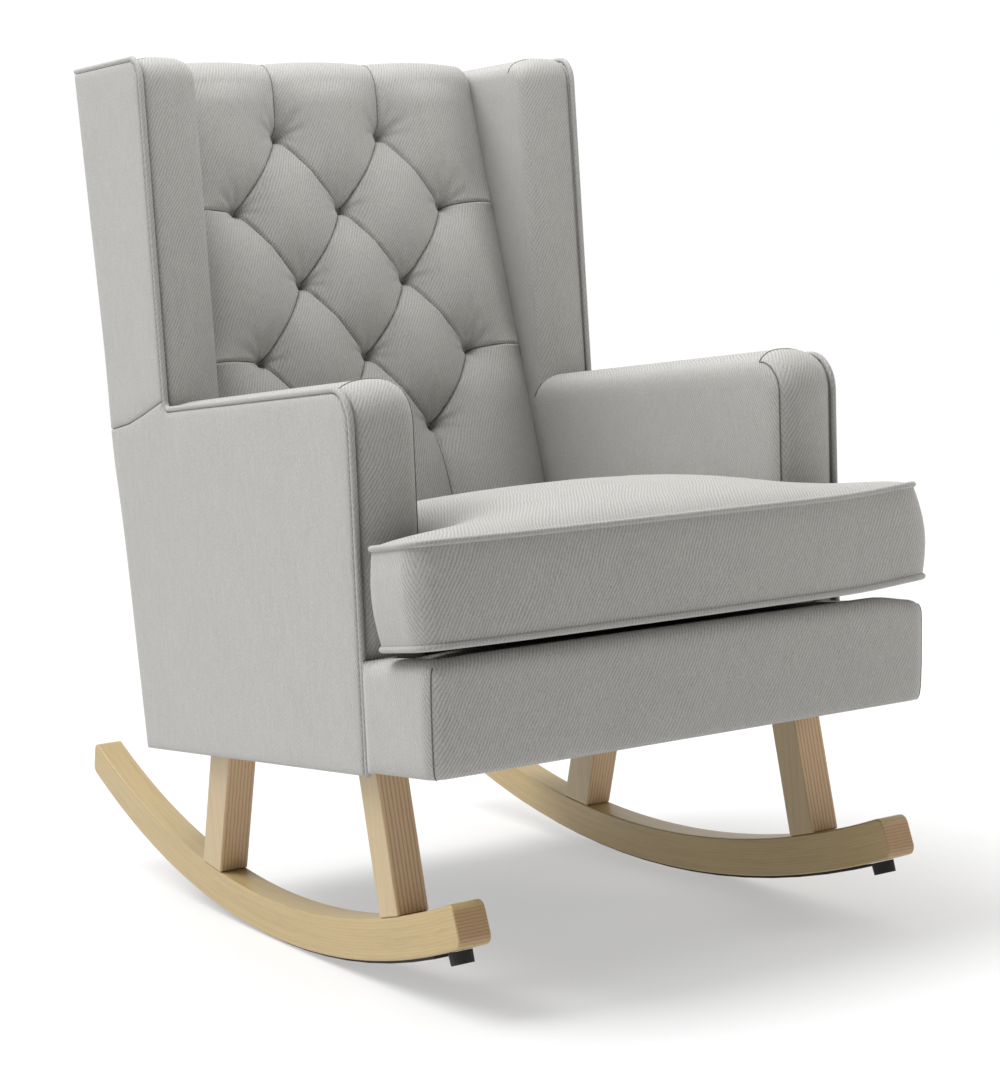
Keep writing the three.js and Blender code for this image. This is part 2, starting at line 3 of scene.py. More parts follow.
import bmesh
import bpy
import numpy as np
from mathutils import Matrix, Vector
from mathutils.geometry import delaunay_2d_cdt


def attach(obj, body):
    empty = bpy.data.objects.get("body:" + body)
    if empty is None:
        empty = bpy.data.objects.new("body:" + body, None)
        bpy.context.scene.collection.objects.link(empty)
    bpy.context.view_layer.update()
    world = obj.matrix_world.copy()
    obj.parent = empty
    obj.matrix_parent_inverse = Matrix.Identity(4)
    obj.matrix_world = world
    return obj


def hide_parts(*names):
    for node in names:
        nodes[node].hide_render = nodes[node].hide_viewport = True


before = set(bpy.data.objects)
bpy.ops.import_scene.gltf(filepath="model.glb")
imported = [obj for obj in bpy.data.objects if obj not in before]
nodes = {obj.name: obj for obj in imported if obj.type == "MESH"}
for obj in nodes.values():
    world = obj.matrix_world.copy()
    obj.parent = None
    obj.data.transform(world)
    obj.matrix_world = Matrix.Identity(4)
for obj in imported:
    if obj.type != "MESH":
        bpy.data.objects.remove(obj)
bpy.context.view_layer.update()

# ---------------------------------------------------------------- sizes
# Millimetres, in the chair's own level frame: base level, front towards -Y, floor arc at z = 0.
HALF = 300.0
SIDE_IN = 291.6
INNER = 222.0
BASE_BOTTOM = 213.0
BASE_TOP = 330.0
REAR = 447.0
ARM_REAR, ARM_FRONT = 627.0, 603.0
ARM_TIP, ARM_FOOT = -272.0, -221.0
WING_REAR, WING_FRONT_Z = 1078.0, 1048.0
WING_Y, WING_TIP = 254.0, 218.0
WELT = 3.3
APRON_HALF, APRON_FRONT, APRON_LEAN, APRON_GAP = 299.0, -380.0, 0.17, 9.0
APRON_BOTTOM, APRON_TOP, APRON_WALL = 217.0, 326.5, 40.0
CUSHION_EAR, CUSHION_HALF = 305.0, 213.0
CUSHION_FRONT, CUSHION_EAR_REAR, CUSHION_REAR = -402.0, -300.0, 208.0
CUSHION_LOW, CUSHION_EDGE, CUSHION_CROWN, CUSHION_SWELL = 343.0, 100.0, 50.0, 4.5
BACK_TOP, BACK_LOW = 1068.0, 350.0
BACK_Y, BACK_Z, BACK_LEAN = 264.0, 501.0, 0.17
TUFT_X, TUFT_Z, TUFT_LOW = 146.0, 97.0, 588.0
BUTTON_SUNK = 19.5
PLATFORM_LOW, PLATFORM_REAR, PLATFORM_GAP = 316.0, 254.0, 17.0
ROCKER_OUT, ROCKER_IN = 279.0, 243.0
ARC_R, ARC_Y, ARC_THICK = 1607.2, 41.3, 44.4
ROCKER_FRONT, ROCKER_REAR = -359.0, 753.0
LEG_TOP = 234.5
LEGS = (("front", -221.3, -175.5, 0.1), ("rear", 286.0, 343.0, -0.5))  # foot from, to, and its slope
TILT = 3.2
ARC_WORLD_Y, FLOOR_LIFT = -49.78, 3.155

MM = 0.001
PLACE = (
    Matrix.Translation((0, ARC_WORLD_Y * MM, (ARC_R + FLOOR_LIFT) * MM))
    @ Matrix.Rotation(math.radians(-TILT), 4, "X")
    @ Matrix.Translation((0, -ARC_Y * MM, -ARC_R * MM))
)


# ---------------------------------------------------------------- mesh helpers
def add_mesh(name, points, faces, smooth=True):
    """An object from points in chair millimetres."""
    data = bpy.data.meshes.new(name)
    data.from_pydata([PLACE @ (Vector(p) * MM) for p in points], [], faces)
    data.update()
    b = bmesh.new()
    b.from_mesh(data)
    bmesh.ops.recalc_face_normals(b, faces=b.faces)
    b.to_mesh(data)
    b.free()
    if smooth:
        data.polygons.foreach_set("use_smooth", [True] * len(data.polygons))
    obj = bpy.data.objects.new(name, data)
    bpy.context.scene.collection.objects.link(obj)
    return obj


def finish_piece(obj, body, slot, mat, *replaced):
    obj.data.materials.clear()
    obj.data.materials.append(mat)
    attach(obj, body)
    if replaced:
        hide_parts(*replaced)
    return obj


def rounded(points, steps=6, closed=True):
    """Rounds the corners of an outline; each entry is (a, b) or (a, b, radius)."""
    out = []
    n = len(points)
    for i, p in enumerate(points):
        r = p[2] if len(p) > 2 else 0
        here = np.array(p[:2], float)
        if not r or (not closed and i in (0, n - 1)):
            out.append(here)
            continue
        u = np.array(points[i - 1][:2], float) - here
        v = np.array(points[(i + 1) % n][:2], float) - here
        u /= np.linalg.norm(u)
        v /= np.linalg.norm(v)
        half = math.acos(max(-1, min(1, u @ v))) / 2
        reach = r / math.tan(half)
        mid = (u + v) / np.linalg.norm(u + v) * (r / math.sin(half))
        a = u * reach - mid
        b = v * reach - mid
        turn = math.atan2(a[0] * b[1] - a[1] * b[0], a @ b)
        for k in range(steps + 1):
            t = turn * k / steps
            c, s = math.cos(t), math.sin(t)
            out.append(here + mid + np.array([a[0] * c - a[1] * s, a[0] * s + a[1] * c]))
    return [tuple(p) for p in out]


def resample(points, step, closed=True):
    """Adds points along long edges so that none is longer than step."""
    out = []
    n = len(points)
    for i in range(n if closed else n - 1):
        a = np.array(points[i], float)
        b = np.array(points[(i + 1) % n], float)
        k = max(1, int(math.ceil(np.linalg.norm(b - a) / step)))
        out += [tuple(a + (b - a) * j / k) for j in range(k)]
    if not closed:
        out.append(tuple(points[-1]))
    return out


def outward(ring):
    """Mitred outward normals of a closed outline."""
    p = np.array(ring, float)
    area = np.sum(p[:, 0] * np.roll(p[:, 1], -1) - np.roll(p[:, 0], -1) * p[:, 1])
    e = np.roll(p, -1, 0) - p
    e /= np.linalg.norm(e, axis=1)[:, None] + 1e-9
    n = np.stack([e[:, 1], -e[:, 0]], 1) * (1 if area > 0 else -1)
    m = n + np.roll(n, 1, 0)
    m /= np.linalg.norm(m, axis=1)[:, None] + 1e-9
    scale = 1 / np.maximum((m * n).sum(1), 0.62)
    return m * scale[:, None]


def inner_fill(ring, step):
    """Points and triangles that fill a closed outline; the outline's own points come first."""
    p = np.array(ring)
    n = len(p)
    a, b = p, np.roll(p, -1, 0)
    low, high = p.min(0), p.max(0)
    extra = []
    rise = np.where(b[:, 1] == a[:, 1], 1e-9, b[:, 1] - a[:, 1])
    for y in np.arange(low[1] + step / 2, high[1], step):
        spans = (a[:, 1] > y) != (b[:, 1] > y)
        crossing = (b[:, 0] - a[:, 0]) * (y - a[:, 1]) / rise + a[:, 0]
        for x in np.arange(low[0] + step / 2, high[0], step):
            inside = (spans & (x < crossing)).sum() % 2
            if inside and np.hypot(*(p - (x, y)).T).min() > step * 0.5:
                extra.append((x, y))
    points = [Vector(q) for q in [*map(tuple, p), *extra]]
    edges = [(i, (i + 1) % n) for i in range(n)]
    out, _, faces, *_ = delaunay_2d_cdt(points, edges, [list(range(n))], 1, 1e-4)
    return [tuple(v) for v in out], [tuple(f) for f in faces]


def loft(name, ring, profile, to_point, weight=None, step=18.0, shape=None):
    """A closed body whose rings are one outline, moved out by g at depth t for each (t, g)."""
    normal = outward(ring)
    w = np.ones(len(ring)) if weight is None else np.array([weight(*p) for p in ring])
    points = []
    faces = []
    n = len(ring)
    rings = []
    for t, g in profile:
        rings.append([])
        for (a, b), m, k in zip(ring, normal, w):
            grow = g * k
            rings[-1].append((a + m[0] * grow, b + m[1] * grow))
        points += [to_point(a, b, t) for a, b in rings[-1]]
    for i in range(len(profile) - 1):
        for k in range(n):
            a = i * n + k
            b = i * n + (k + 1) % n
            faces.append((a, b, b + n, a + n))
    last = (len(profile) - 1) * n
    for first, rim, (t, _) in ((0, rings[0], profile[0]), (last, rings[-1], profile[-1])):
        filled, triangles = inner_fill(rim, step)
        start = len(points)
        lift = shape if first else None
        points += [to_point(a, b, t + (lift(a, b) if lift else 0)) for a, b in filled[n:]]
        faces += [tuple(first + i if i < n else start + i - n for i in f) for f in triangles]
    return add_mesh(name, points, faces), points


def tube(name, path, radius, sides=10, loop=False):
    """A round cord along points in chair millimetres."""
    p = [Vector(v) for v in path]
    n = len(p)
    points = []
    faces = []
    side = None
    for i in range(n):
        before = p[(i - 1) % n] if loop or i else p[0]
        after = p[(i + 1) % n] if loop or i < n - 1 else p[-1]
        t = (after - before).normalized()
        if side is None:
            side = Vector((0.02, 0.03, 1)).cross(t)
            if side.length < 0.2:
                side = Vector((1, 0, 0)).cross(t)
        side = (side - t * side.dot(t)).normalized()
        up = t.cross(side)
        for k in range(sides):
            a = 2 * math.pi * k / sides
            points.append(p[i] + side * (radius * math.cos(a)) + up * (radius * math.sin(a)))
    for i in range(n if loop else n - 1):
        for k in range(sides):
            a = i * sides + k
            b = i * sides + (k + 1) % sides
            c = ((i + 1) % n) * sides
            faces.append((a, b, c + (k + 1) % sides, c + k))
    if not loop:
        faces.append(tuple(range(sides)))
        faces.append(tuple(range((n - 1) * sides, n * sides)))
    return add_mesh(name, points, faces)


def grid_faces(rows, columns):
    return [
        (j * columns + i, j * columns + i + 1, (j + 1) * columns + i + 1, (j + 1) * columns + i)
        for j in range(rows - 1)
        for i in range(columns - 1)
    ]


def relax(height, pinned, press, rounds):
    """A stretched skin over the grid: pinned cells keep their height, the rest bulge."""
    h = height.copy()
    for _ in range(rounds):
        p = np.pad(h, 1, mode="edge")
        mean = (p[:-2, 1:-1] + p[2:, 1:-1] + p[1:-1, :-2] + p[1:-1, 2:]) / 4
        h = np.where(pinned, height, mean + press)
    return h


# ---------------------------------------------------------------- materials
class Nodes:
    """Short names for building a material's nodes."""

    def __init__(self, tree):
        self.tree = tree

    def new(self, kind, **values):
        node = self.tree.nodes.new(kind)
        for key, value in values.items():
            setattr(node, key, value)
        return node

    def feed(self, socket, value):
        if isinstance(value, bpy.types.NodeSocket):
            self.tree.links.new(value, socket)
        else:
            socket.default_value = value

    def math(self, operation, a, b=0.0, c=None):
        node = self.new("ShaderNodeMath", operation=operation)
        self.feed(node.inputs[0], a)
        self.feed(node.inputs[1], b)
        if c is not None:
            self.feed(node.inputs[2], c)
        return node.outputs[0]

    def vector(self, operation, a, b):
        node = self.new("ShaderNodeVectorMath", operation=operation)
        self.feed(node.inputs[0], a)
        self.feed(node.inputs[1], b)
        return node.outputs[0]

    def scaled(self, vector, amount):
        node = self.new("ShaderNodeVectorMath", operation="SCALE")
        self.feed(node.inputs[0], vector)
        self.feed(node.inputs["Scale"], amount)
        return node.outputs[0]

    def split(self, vector):
        node = self.new("ShaderNodeSeparateXYZ")
        self.feed(node.inputs[0], vector)
        return node.outputs

    def surface(self):
        """The point in millimetres, then its coordinates and those of the normal."""
        coords = self.new("ShaderNodeTexCoord").outputs
        where = self.scaled(coords["Object"], 1000.0)
        return where, self.split(where), self.split(coords["Normal"])

    def bump(self, shader, height, strength, distance):
        node = self.new("ShaderNodeBump")
        node.inputs["Strength"].default_value = strength
        node.inputs["Distance"].default_value = distance
        self.feed(node.inputs["Height"], height)
        self.feed(shader.inputs["Normal"], node.outputs[0])

    def smoothstep(self, value, low, high, at_low, at_high):
        node = self.new("ShaderNodeMapRange", interpolation_type="SMOOTHSTEP")
        self.feed(node.inputs["Value"], value)
        node.inputs["From Min"].default_value = low
        node.inputs["From Max"].default_value = high
        node.inputs["To Min"].default_value = at_low
        node.inputs["To Max"].default_value = at_high
        return node.outputs[0]

    def noise(self, vector, scale, detail=2.0, rough=0.5):
        node = self.new("ShaderNodeTexNoise")
        self.feed(node.inputs["Vector"], vector)
        node.inputs["Scale"].default_value = scale
        node.inputs["Detail"].default_value = detail
        node.inputs["Roughness"].default_value = rough
        return node.outputs["Fac"]

    def wave(self, value):
        """Sine of a value counted in turns, from 0 to 1."""
        s = self.math("SINE", self.math("MULTIPLY", value, 2 * math.pi))
        return self.math("MULTIPLY_ADD", s, 0.5, 0.5)

    def ramp(self, value, stops):
        node = self.new("ShaderNodeValToRGB")
        self.feed(node.inputs[0], value)
        ramp = node.color_ramp
        while len(ramp.elements) < len(stops):
            ramp.elements.new(0.5)
        for element, (place, color) in zip(ramp.elements, stops):
            element.position = place
            element.color = (*color, 1)
        return node.outputs[0]

    def mix(self, factor, a, b, blend="MIX"):
        node = self.new("ShaderNodeMix", data_type="RGBA", blend_type=blend)
        self.feed(node.inputs[0], factor)
        self.feed(node.inputs[6], a)
        self.feed(node.inputs[7], b)
        return node.outputs[2]


def blank(name):
    mat = bpy.data.materials.new(name)
    mat.use_nodes = True
    tree = mat.node_tree
    shader = tree.nodes["Principled BSDF"]
    return mat, Nodes(tree), shader


TWILL = 3.3  # mm between diagonal ribs
YARN = 1.1  # mm between yarns along a rib
LEG_PLY, ROCKER_PLY = 4.5, 3.4  # mm between glue lines


def fabric(name, color, contrast=0.48, bump=0.6, sheen=0.2):
    """Twill: diagonal ribs crossed by yarns, uneven in tone and slightly raised."""
    mat, n, shader = blank(name)
    where, (x, y, z), facing = n.surface()
    wander = n.noise(where, 0.012, 2.0)
    drift = n.math("MULTIPLY", n.math("SUBTRACT", wander, 0.5), 5.0)

    def twill(u, v):
        rib = n.math("MULTIPLY_ADD", u, 0.88 / TWILL, n.math("MULTIPLY", v, -0.47 / TWILL))
        rib = n.wave(n.math("ADD", rib, drift))
        yarn = n.wave(n.math("MULTIPLY_ADD", v, 0.95 / YARN, n.math("MULTIPLY", u, 0.3 / YARN)))
        return n.math("MULTIPLY_ADD", yarn, 0.35, n.math("MULTIPLY", rib, 0.65))

    weights = [n.math("POWER", n.math("ABSOLUTE", s), 6.0) for s in facing]
    total = n.math("ADD", n.math("ADD", weights[0], weights[1]), n.math("ADD", weights[2], 1e-4))
    planes = [twill(y, z), twill(x, z), twill(x, y)]
    weave = 0.0
    for w, p in zip(weights, planes):
        weave = n.math("MULTIPLY_ADD", n.math("DIVIDE", w, total), p, weave)
    grain = n.noise(where, 0.55, 3.0, 0.65)
    cloud = n.noise(where, 0.018, 3.0, 0.6)
    slub = n.noise(n.vector("MULTIPLY", where, (0.6, 0.6, 0.05)), 1.0, 2.0)
    tone = n.math("MULTIPLY_ADD", n.math("SUBTRACT", weave, 0.5), contrast, 1.0)
    tone = n.math("MULTIPLY_ADD", n.math("SUBTRACT", grain, 0.5), contrast * 1.5, tone)
    tone = n.math("MULTIPLY_ADD", n.math("SUBTRACT", cloud, 0.5), 0.10, tone)
    tone = n.math("MULTIPLY_ADD", n.math("SUBTRACT", slub, 0.5), contrast * 0.6, tone)
    tint = n.mix(cloud, (*color, 1), (color[0] * 1.01, color[1] * 0.985, color[2] * 0.965, 1))
    n.feed(shader.inputs["Base Color"], n.scaled(tint, tone))
    n.bump(shader, n.math("MULTIPLY_ADD", grain, 0.5, weave), bump, 0.0006)
    n.feed(shader.inputs["Roughness"], n.math("MULTIPLY_ADD", weave, -0.12, 0.84))
    shader.inputs["Specular IOR Level"].default_value = 0.35
    shader.inputs["Sheen Weight"].default_value = sheen
    shader.inputs["Sheen Roughness"].default_value = 0.45
    return mat


def wood(name, light, dark, end, along, layers):
    """Pale laminated birch. along is "leg" (grain up Z) or "rocker" (grain round the arc)."""
    mat, n, shader = blank(name)
    _, (x, y, z), facing = n.surface()
    bent = along == "rocker"
    if bent:
        dy = n.math("SUBTRACT", y, ARC_WORLD_Y)
        dz = n.math("SUBTRACT", ARC_R + FLOOR_LIFT, z)
        squares = n.math("ADD", n.math("MULTIPLY", dy, dy), n.math("MULTIPLY", dz, dz))
        length = n.math("MULTIPLY", n.math("ARCTAN2", dy, dz), ARC_R)
        across, deep = n.math("SQRT", squares), x
    else:
        length, across, deep = z, x, y
    combined = n.new("ShaderNodeCombineXYZ")
    n.feed(combined.inputs[0], n.math("MULTIPLY", length, 0.03))
    n.feed(combined.inputs[1], across)
    n.feed(combined.inputs[2], deep)
    fibre = n.noise(combined.outputs[0], 0.9, 5.0, 0.62)
    broad = n.noise(combined.outputs[0], 0.16, 3.0, 0.5)
    ply = n.wave(n.math("MULTIPLY_ADD", broad, 0.5, n.math("DIVIDE", across, layers)))
    ply = n.math("POWER", ply, 3.0)
    tone = n.math("MULTIPLY_ADD", fibre, 0.55, n.math("MULTIPLY", broad, 0.45))
    bright = tuple(min(1, c * 1.06) for c in light)
    base = n.ramp(tone, [(0.30, dark), (0.52, light), (0.72, bright)])
    side = n.math("ABSOLUTE", facing[0])
    edge = n.math("ABSOLUTE", facing[1])
    if bent:
        lines = n.math("MULTIPLY", n.math("MULTIPLY", ply, 0.38), side)
        striped = n.mix(lines, base, (*dark, 1))
        cut = n.ramp(ply, [(0.1, end), (0.9, tuple(c * 0.7 for c in end))])
        final = n.mix(n.math("POWER", edge, 3.0), striped, cut)
    else:
        stripe = n.math("MULTIPLY_ADD", ply, 0.6, n.math("MULTIPLY", fibre, 0.4))
        cut = n.ramp(stripe, [(0.2, end), (0.75, tuple(c * 0.62 for c in end))])
        final = n.mix(n.math("POWER", edge, 2.0), base, cut)
    n.feed(shader.inputs["Base Color"], final)
    n.bump(shader, fibre, 0.12, 0.0005)
    n.feed(shader.inputs["Roughness"], n.math("MULTIPLY_ADD", fibre, 0.2, 0.36))
    shader.inputs["Coat Weight"].default_value = 0.15
    shader.inputs["Coat Roughness"].default_value = 0.3
    return mat


def plain(name, color, rough, scale, spread, metallic=0.0):
    """One colour with fine specks, slightly rough."""
    mat, n, shader = blank(name)
    coords = n.new("ShaderNodeTexCoord").outputs["Object"]
    speck = n.noise(coords, scale, 4.0, 0.6)
    low = tuple(c * (1 - spread) for c in color)
    high = tuple(min(1, c * (1 + spread)) for c in color)
    n.feed(shader.inputs["Base Color"], n.ramp(speck, [(0.3, low), (0.7, high)]))
    n.feed(shader.inputs["Roughness"], n.math("MULTIPLY_ADD", speck, 0.2, rough - 0.1))
    n.bump(shader, speck, 0.2, 0.0004)
    shader.inputs["Metallic"].default_value = metallic
    return mat


GREY = (0.384, 0.382, 0.370)
TWILL_MAT = fabric("grey_twill", GREY)
WELT_MAT = fabric("grey_twill_bias", tuple(c * 0.97 for c in GREY), contrast=0.36, bump=0.6)
BUTTON_MAT = fabric("grey_twill_button", tuple(c * 0.9 for c in GREY))
# Deck cloth in dark grey: partly the cloth's own colour, partly painted shade of the gap under the cushion.
DECK_CLOTH_AND_SHADE_MAT = fabric("deck_cloth", (0.2, 0.197, 0.19), sheen=0.05)
LINING_MAT = fabric("black_lining", (0.02, 0.02, 0.021), contrast=0.3, sheen=0.05)
# Dark grey cords laid along seams and pleats: painted shade of their grooves, not a colour of the cloth.
SEAM_SHADE_MAT = fabric("seam_shadow", (0.16, 0.155, 0.145), sheen=0.0)
LEG_MAT = wood("birch_leg", (0.49, 0.37, 0.205), (0.41, 0.29, 0.145), (0.62, 0.42, 0.245), "leg", LEG_PLY)
ROCKER_MAT = wood(
    "birch_bent", (0.465, 0.345, 0.155), (0.355, 0.245, 0.10), (0.46, 0.29, 0.155), "rocker", ROCKER_PLY
)
FRAME_MAT = plain("frame_timber", (0.55, 0.40, 0.22), 0.7, 60.0, 0.18)
RUBBER_MAT = plain("black_rubber", (0.018, 0.018, 0.018), 0.8, 400.0, 0.3)
STEEL_MAT = plain("spring_wire", (0.42, 0.42, 0.43), 0.35, 200.0, 0.15, metallic=1.0)


# ---------------------------------------------------------------- camera
CAM = (-1204.6, -2261.7, 464.5)
YAW, PITCH, ROLL = math.radians(28.094), math.radians(0.7417), math.radians(-6.121)
FOCAL = 2200.0 / 1083.0 * 36.0

ahead = Vector((math.sin(YAW) * math.cos(PITCH), math.cos(YAW) * math.cos(PITCH), -math.sin(PITCH)))
right = Vector((math.cos(YAW), -math.sin(YAW), 0))
above = right.cross(ahead)
across = right * math.cos(ROLL) + above * math.sin(ROLL)
upward = above * math.cos(ROLL) - right * math.sin(ROLL)
turn = Matrix((across, upward, -ahead)).transposed().to_4x4()
camera = bpy.data.objects.new("camera", bpy.data.cameras.new("camera"))
bpy.context.scene.collection.objects.link(camera)
camera.matrix_world = PLACE @ Matrix.Translation(Vector(CAM) * MM) @ turn
camera.data.sensor_width = 36.0
camera.data.lens = FOCAL
camera.data.clip_end = 60.0
bpy.context.scene.camera = camera


# ---------------------------------------------------------------- sides, wings and arms
def body_edge():
    return rounded(
        [
            (REAR, WING_REAR),
            (WING_TIP - 2, WING_FRONT_Z - 5, 26),
            (WING_Y, ARM_REAR, 14),
            (ARM_TIP - 4, ARM_FRONT - 3, 34),
            (ARM_FOOT, BASE_BOTTOM),
        ],
        8,
        closed=False,
    )


def at_side(sign):
    return lambda a, b, t: (sign * t, a, b)


def mirror_name(sign):
    return "left" if sign < 0 else "right"


EDGE = body_edge()
JOIN = next(i for i, (y, z) in enumerate(EDGE) if z < ARM_REAR + 14)
SEAM_REAR_Z = ARM_REAR - 3.0
PANEL_PROFILE = [
    (SIDE_IN + 0.6, -1.2),
    (SIDE_IN + 0.6, -0.3),
    (HALF - 3.0, -0.3),
    (HALF - 1.3, -0.9),
    (HALF - 0.4, -2.0),
    (HALF + 0.2, -4.5),
    (HALF + 0.7, -8.0),
]


def rear_swell(z):
    """The back of the sides stands out a little at arm height."""
    return 8.0 * math.exp(-(((z - 600) / 80) ** 2))


def side_panels(sign):
    side = mirror_name(sign)
    seam = [EDGE[JOIN - 1], (330.0, ARM_REAR + 4), (385.0, ARM_REAR - 2)]
    wing = [*EDGE[: JOIN - 1], *seam, (REAR, SEAM_REAR_Z)]
    arm = [(REAR, SEAM_REAR_Z), *reversed(seam), *EDGE[JOIN:], (REAR, BASE_BOTTOM)]
    for kind, ring in (("wing", wing), ("arm", arm)):
        ring = [(y + (rear_swell(z) if y > REAR - 1 else 0), z) for y, z in resample(ring, 12)]
        obj, _ = loft(f"{side}_outer_{kind}_cover", ring, PANEL_PROFILE, at_side(sign))
        finish_piece(obj, "chair", "grey_twill", TWILL_MAT, f"{side}_outer_{kind}_panel")


def side_welt(sign):
    side = mirror_name(sign)
    e = np.array(resample(EDGE, 6, closed=False))
    t = np.gradient(e, axis=0)
    t /= np.linalg.norm(t, axis=1)[:, None]
    out = np.stack([t[:, 1], -t[:, 0]], 1) * (WELT + 0.3)
    path = [(sign * (HALF - WELT - 0.4), y, z) for y, z in e + out]
    obj = tube(f"{side}_side_piping", path, WELT, 12)
    finish_piece(obj, "chair", "welt_fabric", WELT_MAT, f"{side}_side_welt")


ARM_PROFILE = [
    (SIDE_IN, -1.0),
    (SIDE_IN, 0.0),
    (289.6, 3.6),
    (285.0, 6.6),
    (277.0, 9.6),
    (267.0, 11.4),
    (256.0, 12.0),
    (246.0, 11.4),
    (237.5, 9.0),
    (230.8, 5.0),
    (226.0, -0.6),
    (223.2, -7.0),
    (221.8, -15.0),
    (221.4, -25.0),
]

WING_PROFILE = [
    (SIDE_IN, -1.0),
    (SIDE_IN, 0.0),
    (289.0, 2.4),
    (284.0, 4.2),
    (275.0, 5.6),
    (262.0, 6.2),
    (250.0, 5.6),
    (241.0, 4.0),
    (234.0, 1.4),
    (229.0, -1.6),
    (225.0, -6.0),
    (222.8, -11.5),
    (222.0, -17.0),
]


def wing(sign):
    side = mirror_name(sign)
    low = ARM_REAR - 37
    ring = rounded(
        [
            (WING_Y + 1.4, low),
            (REAR - 1, low),
            (REAR - 1, WING_REAR - 3),
            (WING_TIP - 1, WING_FRONT_Z - 5, 26),
        ],
        8,
    )
    ring = resample(ring, 8)

    def free(y, z):
        return 0.0 if y > REAR - 6 or z < low + 3 else 1.0

    obj, points = loft(f"{side}_wing_cover", ring, WING_PROFILE, at_side(sign), free)
    finish_piece(obj, "chair", "grey_twill", TWILL_MAT, f"{side}_wing_pad")
    n = len(ring)
    over = min(range(n), key=lambda i: abs(ring[i][0] - WING_TIP - 30) + (0 if ring[i][1] > 1000 else 1e3))
    # Dark cords along the wing's top and foot seams: painted shade of the seam grooves.
    seam = tube(f"{side}_wing_top_seam_shade", [points[k * n + over] for k in range(1, 12)], 0.8, 6)
    finish_piece(seam, "chair", "grey_twill", SEAM_SHADE_MAT)
    depth = [t for t, _ in reversed(WING_PROFILE)]
    growth = [g for _, g in reversed(WING_PROFILE)]
    path = [(sign * t, WING_Y - 1 - np.interp(t, depth, growth), ARM_REAR + g) for t, g in ARM_PROFILE[2:13]]
    seam = tube(f"{side}_wing_foot_seam_shade", path, 0.9, 6)
    finish_piece(seam, "chair", "grey_twill", SEAM_SHADE_MAT)


def arm_top(y):
    slope = (ARM_REAR - ARM_FRONT) / (WING_Y - ARM_TIP)
    return ARM_FRONT + (y - ARM_TIP) * slope


def arm(sign):
    side = mirror_name(sign)
    foot = BASE_TOP - 16
    run = (ARM_FOOT - ARM_TIP) / (ARM_FRONT - BASE_BOTTOM)
    ring = rounded(
        [
            (ARM_TIP + (ARM_FRONT - foot) * run, foot),
            (398.0, foot),
            (398.0, arm_top(398.0)),
            (ARM_TIP - 4, ARM_FRONT - 3, 34),
        ],
        8,
    )
    ring = resample(ring, 8)

    def free(y, z):
        if y > 390 or z < foot + 2:
            return 0.0
        return min(1.0, (z - foot) / 40)

    obj, points = loft(f"{side}_arm_cover", ring, ARM_PROFILE, at_side(sign), free)
    finish_piece(obj, "chair", "grey_twill", TWILL_MAT, f"{side}_arm_band", f"{side}_inner_arm_pad")
    n = len(ring)
    over = min(range(n), key=lambda i: abs(ring[i][0] + 236) + (0 if ring[i][1] > 560 else 1e3))
    # Dark cords along the arm facing's seams: painted shade of the seam grooves.
    cross = [points[k * n + over] for k in range(1, 11)]
    inner = [points[10 * n + i] for i in (*range(over, n), 0)]
    for label, path in (("across", cross), ("down", inner)):
        seam = tube(f"{side}_arm_facing_seam_{label}", path, 0.9, 6)
        finish_piece(seam, "chair", "grey_twill", SEAM_SHADE_MAT)


for s in (-1, 1):
    side_panels(s)
    side_welt(s)
    wing(s)
    arm(s)


# ---------------------------------------------------------------- tufted back
def back_seam(z):
    return BACK_Y + (z - BACK_Z) * BACK_LEAN


def tuft_points():
    found = []
    for row in range(5):
        z = TUFT_LOW + row * TUFT_Z
        for c in (-1, 0, 1) if row % 2 else (-0.5, 0.5):
            found.append((c * TUFT_X, z, row))
    return found


TUFTS = tuft_points()


def pleats():
    """Creases of the tufted front as line segments in (x, z)."""
    lines = []
    for i, (x, z, row) in enumerate(TUFTS):
        for u, w, other in TUFTS[i + 1 :]:
            if other == row + 1 and abs(abs(u - x) - TUFT_X / 2) < 1:
                lines.append(((x, z), (u, w)))
        if row == 4:
            lines.append(((x, z), (x, BACK_TOP + 60)))
        if row == 0:
            lines.append(((x, z), (x, BACK_LOW - 60)))
        if row % 2 and abs(x) > TUFT_X / 2:
            lines.append(((x, z), (math.copysign(INNER + 20, x), z)))
    return lines


PLEATS = pleats()
CREASE = 19.0  # height of the pleats midway between two tufts
SAG = 6.0  # how far a pleat between two tufts hangs down midway


def pleat_path(ends, count):
    """Points along a pleat; one between two tufts hangs in a shallow curve."""
    (ax, az), (bx, bz) = ends
    sag = SAG if abs(bx - ax) > 1 and abs(bz - az) > 1 else 0.0
    path = []
    for i in range(count + 1):
        t = i / count
        path.append((ax + (bx - ax) * t, az + (bz - az) * t - sag * 4 * t * (1 - t)))
    return path


